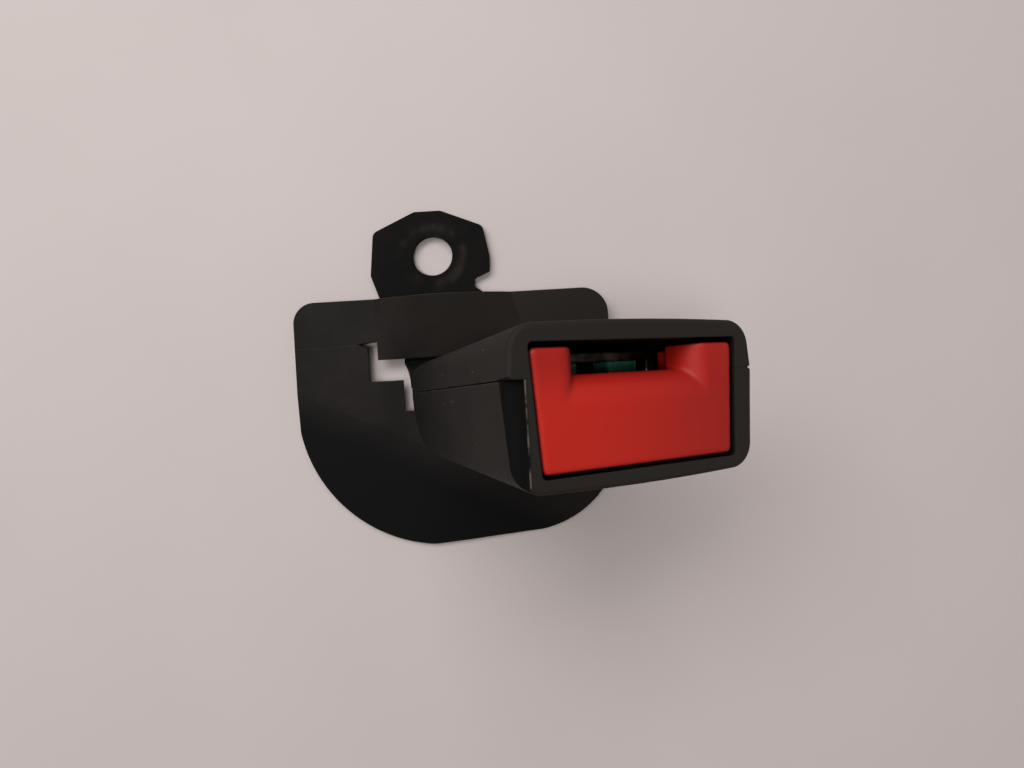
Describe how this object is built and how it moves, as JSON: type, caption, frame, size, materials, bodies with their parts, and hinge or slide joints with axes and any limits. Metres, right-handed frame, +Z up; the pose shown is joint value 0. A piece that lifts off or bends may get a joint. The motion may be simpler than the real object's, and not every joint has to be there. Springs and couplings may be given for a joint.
{
  "type": "seat belt buckle",
  "caption": "Push-button seat belt buckle leaning from a bent steel anchor strap, with a round-bottomed plastic shield over the strap's bend.",
  "frame": {"origin": "the anchor bolt hole's centre, on the underside of the bracket", "axes": "+Z up along the bolt hole, +Y from the buckle towards the anchor tab, +X the way the buckle leans"},
  "size_m": [0.1133, 0.1043, 0.1025],
  "materials": {
    "painted_steel": "black painted steel, rubbed round the bolt hole",
    "plated_steel": "zinc-plated stamped steel",
    "spring_steel": "drawn spring wire",
    "green_plastic": "dark green acetal",
    "red_plastic": "satin red moulded plastic",
    "shell_plastic": "fine-grained charcoal black moulded plastic",
    "shield_plastic": "matte black moulded plastic"
  },
  "bodies": {
    "root": {"anchor_bracket": "painted_steel", "bracket_rivet_left": "plated_steel", "bracket_rivet_right": "plated_steel", "buckle_frame": "plated_steel", "latch_pivot_pin": "plated_steel", "pivot_clip": "spring_steel", "latch_spring": "spring_steel", "spring_bridge": "plated_steel", "ejector_spring": "spring_steel", "button_spring_left": "spring_steel", "button_spring_right": "spring_steel", "shield_pin_left": "shell_plastic", "shield_pin_right": "shell_plastic", "upper_shell": "shell_plastic", "lower_shell": "shell_plastic", "shield_upper": "shield_plastic", "shield_lower": "shield_plastic"},
    "button": {"release_button": "red_plastic"},
    "latch": {"latch_plate": "plated_steel"},
    "ejector": {"ejector": "green_plastic"}
  },
  "joints": [
    {"name": "button_press", "type": "slide", "parent": "root", "child": "button", "axis": [-0.4509, 0, -0.8926], "range_m": [0, 0.0055], "stiffness_N_per_m": 600, "springref_m": -0.006, "deforming": ["button_spring_left", "button_spring_right"]},
    {"name": "latch_swing", "type": "hinge", "parent": "root", "child": "latch", "pos_m": [0.02314, -0.0471, 0.04584], "axis": [0.8926, 0, -0.4509], "range_deg": [0, 11], "stiffness_Nm_per_rad": 0.03, "springref_deg": -17.19, "deforming": ["latch_spring"]},
    {"name": "ejector_slide", "type": "slide", "parent": "root", "child": "ejector", "axis": [-0.4509, 0, -0.8926], "range_m": [0, 0.013], "stiffness_N_per_m": 120, "springref_m": -0.01, "deforming": ["ejector_spring"]}
  ],
  "couplings": [
    {"joint": "latch_swing", "follows": "button_press", "rad_per_m": 34.907}
  ]
}
